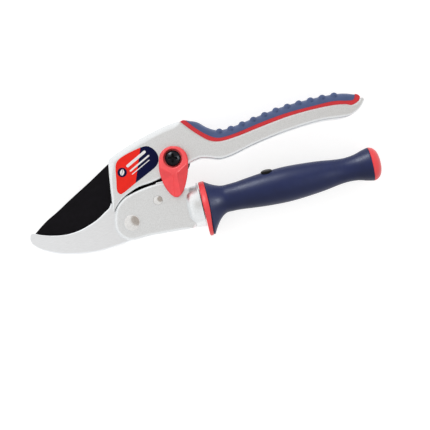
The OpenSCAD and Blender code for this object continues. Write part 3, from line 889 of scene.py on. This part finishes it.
LEVER_LINE = curve(
    [
        (32.5, 39), (29, 38.2), (26, 36), (24.1, 32), (23, 27), (23, 22), (23.8, 17), (25.8, 12),
        (28, 9.3), (30, 8.6), (32, 9.3), (34, 11.2), (36.3, 14.8), (38.6, 19.8), (40.3, 25),
        (41.2, 30), (40.4, 34), (37.3, 37.5), (32.5, 39),
    ],
    16,
)[:-1]
LEVER_TIP = Vector((30, 8.6))
LEVER_LOW, LEVER_TOP = (corner.z for corner in mm_box("lock_lever"))
RECESS_R, BORE_R, RECESS_FLOOR = 5.6, 3.65, 9.6
# The recess's rounded lip: its width, and the heights below the top at two shares of it
LIP_W, LIP_DROPS = 0.25, ((0, 0.46), (1 / 3, 0.24))
# The crease between the lever's flat top and a slope: distance along the lever, and aside
LEVER_CREASE = [Vector(q) for q in ((4.2, 8.4), (9.7, 1.35), (30.0, 2.6))]
# The slopes: steep as far as a width from the crease, and gentler beyond it
STEEP_SLOPE, STEEP_W, GENTLE_SLOPE = 0.72, 3.0, 0.3
# The bead along the crease: its rise, its width and where it fades in
BEAD_RISE, BEAD_W, BEAD_START = 0.16, 0.4, (4, 6)
# How far the top falls towards the tip, and where
TIP_FALL, FALL_SPAN = 1.0, (7, 23)
LEVER_ROUND, LEVER_FOOT = 0.75, 0.25
# Rays from the screw meet the outline at a slant, so a point is nearer to the edge than the
# rest of its ray is long, by about this factor
RAY_SLANT = 0.9
LEVER_STEPS, LEVER_CROWDING = 34, 1.35


def lever_height(p, to_edge):
    """The lever's top: flat round the screw, then a ridge to the tip, with a slope on both sides."""
    axis = (LEVER_TIP - LEVER_AT).normalized()
    from_center = p - LEVER_AT
    along = from_center.dot(axis)
    aside = abs(from_center.x * axis.y - from_center.y * axis.x)
    creases = list(zip(LEVER_CREASE, LEVER_CREASE[1:]))
    off = min(gap(Vector((along, aside)), a, b) for a, b in creases)
    slope = 0.0
    for a, b in creases:
        if a.x <= along <= b.x and aside > a.y + (b.y - a.y) * (along - a.x) / (b.x - a.x):
            slope = STEEP_SLOPE * min(off, STEEP_W) + GENTLE_SLOPE * max(0.0, off - STEEP_W)
    bead = BEAD_RISE * math.exp(-((off / BEAD_W) ** 2)) * smoothstep(*BEAD_START, along)
    z = LEVER_TOP - BEAD_RISE - slope + bead - TIP_FALL * smoothstep(*FALL_SPAN, along)
    if to_edge < LEVER_ROUND:
        z -= LEVER_ROUND - math.sqrt(LEVER_ROUND**2 - (LEVER_ROUND - to_edge) ** 2)
    return z


def lever():
    rays = [(p - LEVER_AT).normalized() for p in LEVER_LINE]
    bore = [LEVER_AT + ray * BORE_R for ray in rays]
    recess = [LEVER_AT + ray * RECESS_R for ray in rays]
    lip = [LEVER_AT + ray * (RECESS_R + LIP_W) for ray in rays]
    foot = [p - ray * LEVER_FOOT for p, ray in zip(LEVER_LINE, rays)]

    def flat(points, z):
        return [(p.x, p.y, z) for p in points]

    rings = [flat(bore, LEVER_LOW), flat(bore, RECESS_FLOOR), flat(recess, RECESS_FLOOR)]
    for share, drop in LIP_DROPS:
        rings.append(flat([a.lerp(b, share) for a, b in zip(recess, lip)], LEVER_TOP - drop))
    for i in range(LEVER_STEPS + 1):
        t = 1 - (1 - i / LEVER_STEPS) ** LEVER_CROWDING
        ring = []
        for a, b in zip(lip, LEVER_LINE):
            p = a + (b - a) * t
            ring.append((p.x, p.y, lever_height(p, (b - p).length * RAY_SLANT)))
        rings.append(ring)
    rings += [flat(LEVER_LINE, LEVER_LOW + LEVER_FOOT), flat(foot, LEVER_LOW)]
    mesh = ring_loft("lever_skin", rings)
    piece("lever_body", mesh, LEVER, "red_plastic", ["lock_lever"], smooth_angle=50)


# ---- lower handle ----

# Edges, each as its width, its depth and how much of it is straight
CHEEK_EDGE, CHEEK_FADE = (1.5, 1.0, 0.3), (34.2, 31.5)
HOOK_EDGE, HOOK_TIP_EDGE, HOOK_FADE = (0.9, 0.7, 0.0), (0.2, 0.2, 0.0), (-61.5, -52)
# The slope round the hub, where the hub starts, and how flat a face may be on the slope
HUB_SLOPE, HUB_FROM, HUB_FLAT = (2.2, 2.6, 1.0), Vector((-10, 8)), 0.95


def cheek_edge(p):
    """The cheeks' edge, which fades out towards the barrel."""
    return narrowed(CHEEK_EDGE, smoothstep(*CHEEK_FADE, p.x))


def lower_casting():
    rims = [(FACE_Z, 1, cheek_edge), (LOWER_BACK_Z, -1, cheek_edge)]
    rimmed("lower_casting", "lower_frame", LOWER, rims)


def on_hub(p):
    """Whether a point is on the hub's edge, which shows in the gap between the castings."""
    return p.x > HUB_FROM.x and p.y > HUB_FROM.y


def hook_edge(p):
    if on_hub(p):
        return HUB_SLOPE
    return mixed(HOOK_TIP_EDGE, HOOK_EDGE, smoothstep(*HOOK_FADE, p.x))


def hook_plate():
    """The hook, with the slope round its hub blackened, so that the gap there looks black."""
    face_z = mm_box("hook")[1].z
    plate = rimmed("hook_plate", "hook", LOWER, [(face_z, 1, hook_edge)])
    plate.data.materials.append(MATERIAL["black_steel"])
    for face in plate.data.polygons:
        if on_hub((face.center - PIVOT) / MM) and abs(face.normal.z) < HUB_FLAT:
            face.material_index = 1


# ---- turning grip ----

GRIP_TURN = math.radians(15)
GRIP_SEGMENTS = 120
FLANGE_R, GUARD_SHIFT, GUARD_R = 13.5, 9.6, 10.5
COLLAR_X0, COLLAR_X1, COLLAR_BORE_R = 43.5, 46.5, 5.0
# The collar's rounded rims: distance from its front or its seam, and below the flange
COLLAR_FRONT = ((0.0, 1.0), (0.12, 0.5), (0.45, 0.12), (0.9, 0.0))
COLLAR_SEAM = ((0.5, 0.0), (0.2, 0.08), (0.05, 0.25), (0.0, 0.6))
SEAM_X, SEAM_SIDE, SEAM_GUARD = 46.9, 0.5, 1.2
SLEEVE_X0, SLEEVE_BORE_R, SLEEVE_GAP, SLEEVE_STEP = 46.7, 6.25, 0.04, 0.45
# The sleeve's rounded front: distance below its reach, and along it
SLEEVE_FRONT = ((0.55, 0.0), (0.16, 0.08), (0.02, 0.3))
FLARE_END, FLARE_STEPS, FLARE_LIP = 58.0, 26, 0.09
# How hollow the flare is, how much more so towards the guard, how its rings crowd towards the
# seam, and at what share of its length they start
FLARE_POWER, GUARD_POWER, FLARE_CROWDING, FLARE_START = 1.75, 0.15, 1.25, 0.03
SLEEVE_LINE = curve(
    [
        (58, 8.2), (65, 8.45), (72, 9.2), (80, 10), (88, 10.5), (95, 10.7), (102, 10.45),
        (110, 9.85), (118, 9.05), (125, 8), (130, 7.45), (134, 7.4), (139, 8), (143.5, 9.3),
        (147.2, 10.15),
    ],
    5,
)
# The sleeve's rounded end: distance beyond its line, and below it
SLEEVE_END = ((0.25, 0.05), (0.3, 0.35))
CAP_PLUG_R, CAP_SEAT_X, CAP_SEAT_R = 4.9, 147.53, 9.9
CAP_END_R = 0.03
CAP_LINE = curve(
    [
        (147.75, 10.2), (148.6, 10.05), (149.6, 9.7), (150.8, 8.9), (151.9, 7.6), (152.7, 5.9),
        (153.2, 3.6), (153.4, 1.6), (153.4, CAP_END_R),
    ],
    4,
)
# The stop screw's plug: heights above the grip's axis
PLUG_X, PLUG_R, PLUG_FOOT, PLUG_RIM, PLUG_RISE = 85.1, 3.5, 7.9, 11.0, 0.45
PLUG_STEPS, PLUG_SPOKES = 8, 64


def grip_point(x, r, turn):
    """A point on the turning grip; the angle starts at the finger guard."""
    return (x, GRIP_Y - r * math.cos(turn + GRIP_TURN), -r * math.sin(turn + GRIP_TURN))


def around(build):
    """A ring of points, from a function of the angle round the grip."""
    return [build(2 * math.pi * k / GRIP_SEGMENTS) for k in range(GRIP_SEGMENTS)]


def grip_ring(x, r):
    return around(lambda turn: grip_point(x, r, turn))


def flange_reach(turn):
    """The flange's outline: a circle drawn out to a smaller one on the guard's side."""
    turn = abs((turn + math.pi) % (2 * math.pi) - math.pi)
    tangent = math.acos((FLANGE_R - GUARD_R) / GUARD_SHIFT)
    leave = math.atan2(GUARD_R * math.sin(tangent), GUARD_SHIFT + GUARD_R * math.cos(tangent))
    if turn > tangent:
        return FLANGE_R
    if turn > leave:
        return FLANGE_R / math.cos(turn - tangent)
    return GUARD_SHIFT * math.cos(turn) + math.sqrt(GUARD_R**2 - (GUARD_SHIFT * math.sin(turn)) ** 2)


def guard_share(turn):
    """How near an angle is to the guard's middle, from 0 to 1."""
    return (1 + math.cos(turn)) / 2


def seam_x(turn):
    """Where the collar meets the sleeve: the collar is thin at the guard's tip."""
    return SEAM_X + SEAM_SIDE * math.sin(turn) ** 2 - SEAM_GUARD * guard_share(turn) ** 2


def collar():
    rings = [grip_ring(COLLAR_X0, COLLAR_BORE_R)]
    for on, under in COLLAR_FRONT:
        rings.append(
            around(lambda a, x=COLLAR_X0 + on, b=under: grip_point(x, flange_reach(a) - b, a))
        )
    for short, under in COLLAR_SEAM:
        rings.append(
            around(lambda a, s=short, b=under: grip_point(seam_x(a) - s, flange_reach(a) - b, a))
        )
    rings.append(grip_ring(COLLAR_X1, COLLAR_BORE_R))
    mesh = ring_loft("collar_skin", rings)
    piece("guard_collar", mesh, GRIP, "red_plastic", ["grip_collar"])


def flare(t, turn):
    """Where the sleeve's flare is, from the seam (0) to its slim end (1), and how far out."""
    x0 = seam_x(turn) + SLEEVE_GAP
    lip = FLARE_LIP * guard_share(turn) ** 2
    left = 1 - max(0.0, t - lip) / (1 - lip)
    slim = SLEEVE_LINE[0].y
    reach = flange_reach(turn) - SLEEVE_STEP
    power = FLARE_POWER + GUARD_POWER * math.cos(turn)
    return x0 + t * (FLARE_END - x0), slim + (reach - slim) * left**power


def sleeve():
    rings = [grip_ring(SLEEVE_X0, SLEEVE_BORE_R)]
    for under, on in SLEEVE_FRONT:
        rings.append(
            around(lambda a, o=on, b=under: grip_point(flare(0, a)[0] + o, flare(0, a)[1] - b, a))
        )
    for i in range(1, FLARE_STEPS):
        t = (i / FLARE_STEPS) ** FLARE_CROWDING
        t += FLARE_START * (1 - t)
        rings.append(around(lambda a, t=t: grip_point(*flare(t, a), a)))
    rings += [grip_ring(p.x, p.y) for p in SLEEVE_LINE]
    end = SLEEVE_LINE[-1]
    rings += [grip_ring(end.x + on, end.y - under) for on, under in SLEEVE_END]
    rings.append(grip_ring(end.x + SLEEVE_END[-1][0], SLEEVE_BORE_R))
    mesh = ring_loft("sleeve_skin", rings)
    piece("grip_skin", mesh, GRIP, "soft_blue", ["grip_sleeve"], smooth_angle=50)


def end_cap():
    foot = mm_box("grip_end_cap")[0].x
    rings = [grip_ring(foot, CAP_END_R), grip_ring(foot, CAP_PLUG_R)]
    rings += [grip_ring(CAP_SEAT_X, CAP_PLUG_R), grip_ring(CAP_SEAT_X, CAP_SEAT_R)]
    rings += [grip_ring(p.x, p.y) for p in CAP_LINE]
    mesh = loft("end_cap_skin", rings)
    piece("end_cap", mesh, GRIP, "red_plastic", ["grip_end_cap"], smooth_angle=45)


def plug():
    """The black plug over the grip's stop screw, on the side opposite the guard."""
    profile = [
        (AXIS_R, PLUG_FOOT), (PLUG_R - 0.1, PLUG_FOOT), (PLUG_R, PLUG_FOOT + 0.2),
        (PLUG_R, PLUG_RIM - 0.25), (PLUG_R - 0.1, PLUG_RIM - 0.05),
    ]
    for i in range(1, PLUG_STEPS + 1):
        turn = math.pi / 2 * i / PLUG_STEPS
        r = max(AXIS_R, (PLUG_R - 0.25) * math.cos(turn))
        profile.append((r, PLUG_RIM + PLUG_RISE * math.sin(turn)))
    up = Vector((0, math.cos(GRIP_TURN), math.sin(GRIP_TURN)))
    side = Vector((0, -math.sin(GRIP_TURN), math.cos(GRIP_TURN)))
    rings = []
    for r, reach in profile:
        center = Vector((PLUG_X, GRIP_Y, 0)) + up * reach
        turns = [2 * math.pi * k / PLUG_SPOKES for k in range(PLUG_SPOKES)]
        rings.append([center + Vector((r * math.cos(a), 0, 0)) + side * r * math.sin(a) for a in turns])
    piece("stop_plug", loft("plug_skin", rings), GRIP, "black_plastic", ["screw_plug"])


# ---- camera, floor and light ----

FLOOR_HALF = 4.0
FLOOR_GLOW = 0.70
# How bright the white tent round the tool is, from the horizon up to straight overhead
TENT = [(0.0, 0.40), (0.14, 0.85), (0.32, 1.10), (0.60, 0.94), (0.84, 0.90), (1.0, 0.90)]
# Directions are in the picture's axes: across, up and towards the camera. The tent is
# brighter on one side, and has a warm, darker patch high on the right
BRIGHT_SIDE, SIDE_SPAN, SIDE_STRENGTH = (-0.35, 0.94, 0.0), (-0.9, 0.9), (0.98, 1.14)
PATCH_DIRECTION, PATCH_EDGE, PATCH_COLOR = (0.30, 0.24, 0.925), (0.875, 0.915), (0.47, 0.425, 0.39)
# The groups of pieces that a light of their own picks out
LIT_PARTS = {
    "red_parts": ("lever_body", "guard_collar", "end_cap"),
    "dark_parts": ("grip_skin", "lever_screw_head"),
}
WHITE, COOL = (1, 1, 1), (0.86, 0.92, 1.0)
# Each light's name, where it stands from the tool's middle, its size, its power in watts,
# its colour, and the group of pieces that it is kept to, if any
LIGHTS = [
    ("key", (-0.80, 1.15, 0.24), (0.6, 0.30), 1.0, WHITE, None),
    ("gloss", (-0.60, 1.00, 0.55), (0.5, 0.3), 28.0, COOL, "dark_parts"),
    ("side_gloss", (1.05, 0.20, 0.80), (0.5, 0.5), 26.0, COOL, "dark_parts"),
    ("overhead", (-0.35, 0.45, 1.10), (0.5, 0.5), 7.0, WHITE, "red_parts"),
]


def camera():
    data = bpy.data.cameras.new("camera")
    data.lens = LENS
    data.sensor_width = SENSOR
    data.clip_end = 20
    obj = bpy.data.objects.new("camera", data)
    bpy.context.scene.collection.objects.link(obj)
    obj.location = at(*VIEW_AT, VIEW_PLANE_Z + VIEW_WIDTH * LENS / SENSOR)
    obj.rotation_euler = (0, 0, -VIEW_TURN)
    bpy.context.scene.camera = obj


def floor():
    """A pale floor that glows a little, so that it stays white under the tool."""
    mesh = bpy.data.meshes.new("floor")
    corners = [(-1, -1), (1, -1), (1, 1), (-1, 1)]
    mesh.from_pydata([(x * FLOOR_HALF, y * FLOOR_HALF, 0.0) for x, y in corners], [], [(0, 1, 2, 3)])
    obj = bpy.data.objects.new("floor", mesh)
    bpy.context.scene.collection.objects.link(obj)
    s = Shader("floor", WHITE, roughness=0.8)
    s.bsdf.inputs["Emission Color"].default_value = (1, 1, 1, 1)
    s.bsdf.inputs["Emission Strength"].default_value = FLOOR_GLOW
    s.mottle(s.noise(3, 2), 0.45, 0.47)
    mesh.materials.append(s.material)


def facing(tree, place, direction):
    """How much each direction of the world agrees with one in the picture's axes."""
    node = tree.nodes.new("ShaderNodeVectorMath")
    node.operation = "DOT_PRODUCT"
    node.inputs[1].default_value = PICTURE_TURN @ Vector(direction)
    tree.links.new(place, node.inputs[0])
    return node.outputs["Value"]


def color_socket(sockets, name):
    return next(k for k in sockets if k.name == name and k.type == "RGBA")


def tent():
    """The world: a white tent, with its bright side and its patch."""
    world = bpy.data.worlds.new("studio")
    bpy.context.scene.world = world
    world.use_nodes = True
    tree = world.node_tree
    place = tree.nodes.new("ShaderNodeTexCoord").outputs["Generated"]
    split = tree.nodes.new("ShaderNodeSeparateXYZ")
    tree.links.new(place, split.inputs[0])
    stops = [(height, (strength,) * 3) for height, strength in TENT]
    height = color_ramp(tree, split.outputs["Z"], stops)
    side = map_range(tree, facing(tree, place, BRIGHT_SIDE), SIDE_SPAN, *SIDE_STRENGTH)
    patch = map_range(tree, facing(tree, place, PATCH_DIRECTION), PATCH_EDGE, 0, 1)
    mix = tree.nodes.new("ShaderNodeMix")
    mix.data_type = "RGBA"
    tree.links.new(patch, mix.inputs["Factor"])
    tree.links.new(height, color_socket(mix.inputs, "A"))
    color_socket(mix.inputs, "B").default_value = (*PATCH_COLOR, 1)
    background = tree.nodes["Background"]
    tree.links.new(color_socket(mix.outputs, "Result"), background.inputs["Color"])
    tree.links.new(side, background.inputs["Strength"])


def lights():
    """The soft lights, those of a group linked to its pieces only."""
    groups = {}
    for name, pieces in LIT_PARTS.items():
        groups[name] = bpy.data.collections.new(name)
        for part in pieces:
            groups[name].objects.link(bpy.data.objects[part])
    center = at(*VIEW_AT)
    for name, offset, size, power, color, group in LIGHTS:
        data = bpy.data.lights.new(name, "AREA")
        data.shape = "RECTANGLE"
        data.size, data.size_y = size
        data.energy = power
        data.color = color
        obj = bpy.data.objects.new(name, data)
        bpy.context.scene.collection.objects.link(obj)
        away = PICTURE_TURN @ Vector(offset)
        obj.location = center + away
        obj.rotation_euler = (-away).to_track_quat("-Z", "Y").to_euler()
        if group:
            obj.light_linking.receiver_collection = groups[group]


bpy.context.scene.view_settings.view_transform = "Standard"
camera()
floor()
tent()

upper_casting()
blade_plate()
liner()
pad()
label_print()
lever_screw()
lever()
lower_casting()
hook_plate()
pivot()
rivet()
collar()
sleeve()
end_cap()
plug()

# How wide the broken edges are on the nodes that are shown as they are and have such edges
BROKEN_EDGES = dict.fromkeys(("label_red", "label_navy"), 0.07)
STEEL_PARTS = ("blade_screws", "lever_washer", "pivot_washer", "pivot_nut", "spindle_clip")
BROKEN_EDGES.update(dict.fromkeys(STEEL_PARTS, 0.15))
for node in frame["nodes"]:
    carried(node, BROKEN_EDGES.get(node, 0.0))
lights()
